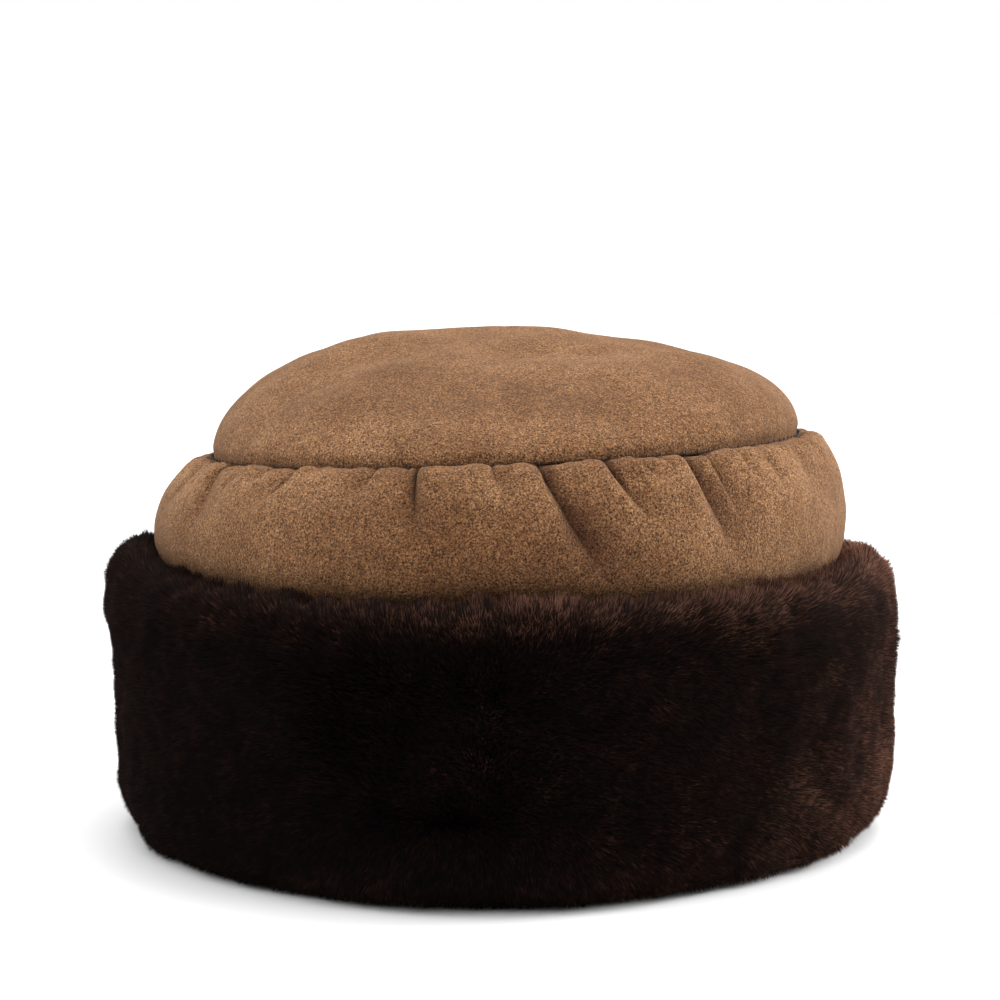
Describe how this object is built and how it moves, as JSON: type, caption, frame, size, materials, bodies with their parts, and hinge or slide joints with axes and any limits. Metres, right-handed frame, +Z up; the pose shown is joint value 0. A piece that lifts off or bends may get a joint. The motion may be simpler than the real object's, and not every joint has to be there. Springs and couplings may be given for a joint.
{
  "type": "sheepskin hat",
  "caption": "Soft round hat with a low domed suede crown, its side gathered into a flat oval top, and a deep turned-up cuff of dense dark fur round an open head hollow.",
  "frame": {"origin": "centre of the hat's outline on the surface that it stands on, at the foot of the fur cuff", "axes": "+Z up through the crown, -Y to the front of the hat, +X to the wearer's left, Y along the head's length"},
  "size_m": [0.2259, 0.2576, 0.1417],
  "materials": {
    "brown_suede": "matt napped suede",
    "dark_brown_fur": "dense sheared wool pile, matt with a soft sheen"
  },
  "bodies": {
    "root": {"crown_tip": "brown_suede", "crown_side_band": "brown_suede", "fur_cuff_front": "dark_brown_fur", "fur_cuff_back": "dark_brown_fur"}
  },
  "joints": []
}
